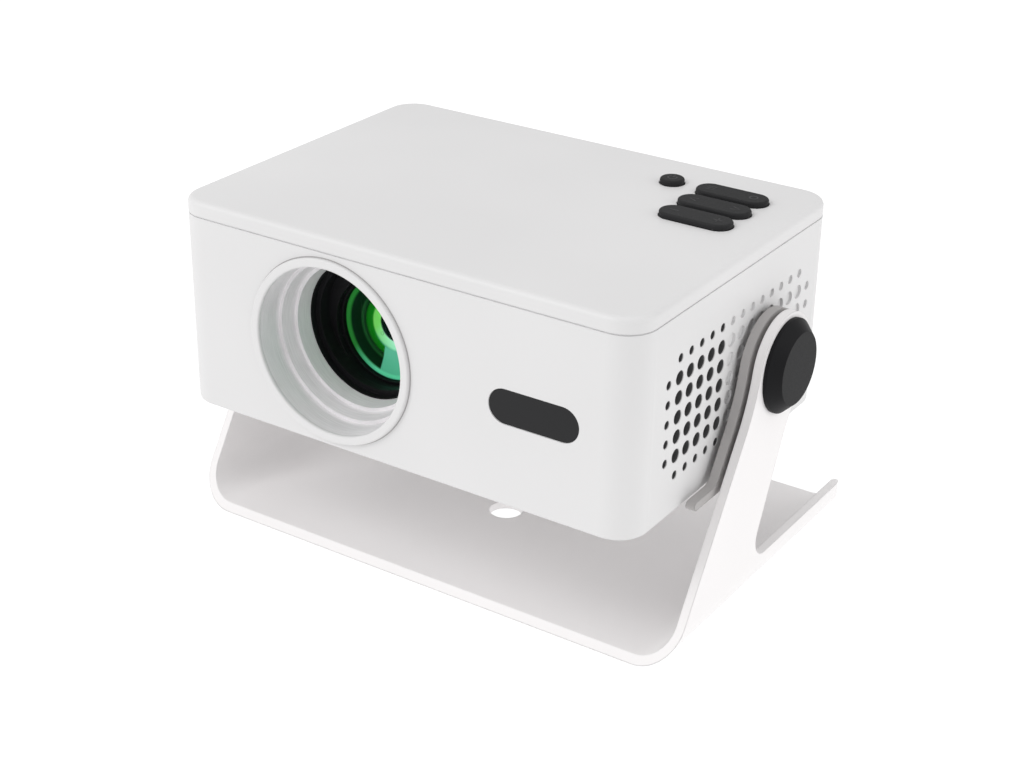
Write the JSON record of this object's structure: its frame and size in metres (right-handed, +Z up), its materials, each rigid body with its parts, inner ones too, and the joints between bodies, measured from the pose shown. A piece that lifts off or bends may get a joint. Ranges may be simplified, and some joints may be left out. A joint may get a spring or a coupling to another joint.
{
  "type": "home projector",
  "caption": "Compact box projector with a recessed lens, perforated sides and top keys, tilting on a U-shaped stand with round pivot caps.",
  "frame": {"origin": "on the table, under the middle of the whole object's bounding box", "axes": "+X to the right seen from the front, +Y from the front (lens side) to the back, +Z up"},
  "size_m": [0.2218, 0.1536, 0.1358],
  "materials": {
    "white_plastic": "fine satin moulded",
    "stand_white": "smooth satin paint",
    "grey_plastic": "fine matt",
    "black_plastic": "fine matt",
    "gloss_black": "polished",
    "key_rubber": "soft matt",
    "silver_trim": "satin anodised",
    "steel": "zinc plated",
    "brass": "machined",
    "coated_glass": "green anti-reflection coating",
    "clear_glass": "polished",
    "board_green": "solder mask",
    "lamp_yellow": "phosphor",
    "heat_sink_metal": "extruded",
    "filter_foam": "open mesh",
    "pad_foam": "soft matt",
    "cone_paper": "pressed paper"
  },
  "bodies": {
    "stand": {"stand_bracket": "stand_white", "arm_plate_left": "grey_plastic", "arm_plate_right": "grey_plastic", "arm_plate_screws": "steel", "base_pads": "pad_foam", "pivot_caps": "black_plastic", "spring_washers": "steel", "friction_washers": "black_plastic"},
    "projector": {"pivot_bolts": "steel", "pivot_inserts": "brass", "main_housing": "white_plastic", "top_cover": "white_plastic", "bottom_cover": "white_plastic", "case_posts": "white_plastic", "rear_panel": "white_plastic", "case_screws": "steel", "tripod_insert": "brass", "lens_bezel": "white_plastic", "lens_liner": "silver_trim", "lens_hood": "black_plastic", "guide_rod": "steel", "focus_motor": "steel", "light_box": "black_plastic", "lcd_panel": "gloss_black", "front_fresnel": "clear_glass", "rear_fresnel": "clear_glass", "heat_glass": "clear_glass", "condenser_lens": "clear_glass", "lamp_board": "heat_sink_metal", "lamp_chip": "lamp_yellow", "heat_sink": "heat_sink_metal", "ir_window": "gloss_black", "ir_receiver": "board_green", "key_board": "board_green", "key_switches": "black_plastic", "main_board": "board_green", "power_socket": "black_plastic", "video_socket": "steel", "data_sockets": "steel", "audio_socket": "black_plastic", "fan_frame": "black_plastic", "dust_filter": "filter_foam", "speaker_basket": "black_plastic", "speaker_cone": "cone_paper"},
    "focus_carriage": {"lens_barrel": "black_plastic", "front_lens": "coated_glass", "lens_spacer": "black_plastic", "rear_lens": "clear_glass", "rear_lens_ring": "black_plastic"},
    "focus_drive": {"focus_screw": "brass"},
    "fan": {"fan_rotor": "black_plastic"},
    "round_key": {"key_round": "key_rubber"},
    "front_key": {"key_front": "key_rubber"},
    "middle_key": {"key_middle": "key_rubber"},
    "rear_key": {"key_rear": "key_rubber"}
  },
  "joints": [
    {"name": "tilt", "type": "hinge", "parent": "stand", "child": "projector", "pos_m": [0, 0.00985, 0.09], "axis": [-1, 0, 0], "range_deg": [-35, 180]},
    {"name": "focus", "type": "slide", "parent": "projector", "child": "focus_carriage", "axis": [0, -1, 0], "range_m": [-0.003, 0.003]},
    {"name": "focus_spin", "type": "hinge", "parent": "projector", "child": "focus_drive", "pos_m": [0.0044, -0.00925, 0.0875], "axis": [0, -1, 0], "range_deg": [-560, 560]},
    {"name": "fan_spin", "type": "hinge", "parent": "projector", "child": "fan", "pos_m": [0.0791, -0.03655, 0.09054], "axis": [1, 0, 0], "continuous": true},
    {"name": "power_press", "type": "slide", "parent": "projector", "child": "round_key", "axis": [0, 0, -1], "range_m": [0, 0.0008], "stiffness_N_per_m": 900, "springref_m": -0.0004},
    {"name": "front_press", "type": "slide", "parent": "projector", "child": "front_key", "axis": [0, 0, -1], "range_m": [0, 0.0008], "stiffness_N_per_m": 900, "springref_m": -0.0004},
    {"name": "middle_press", "type": "slide", "parent": "projector", "child": "middle_key", "axis": [0, 0, -1], "range_m": [0, 0.0008], "stiffness_N_per_m": 900, "springref_m": -0.0004},
    {"name": "rear_press", "type": "slide", "parent": "projector", "child": "rear_key", "axis": [0, 0, -1], "range_m": [0, 0.0008], "stiffness_N_per_m": 900, "springref_m": -0.0004}
  ],
  "couplings": [
    {"joint": "focus_spin", "follows": "focus", "rad_per_m": 3141.6}
  ]
}
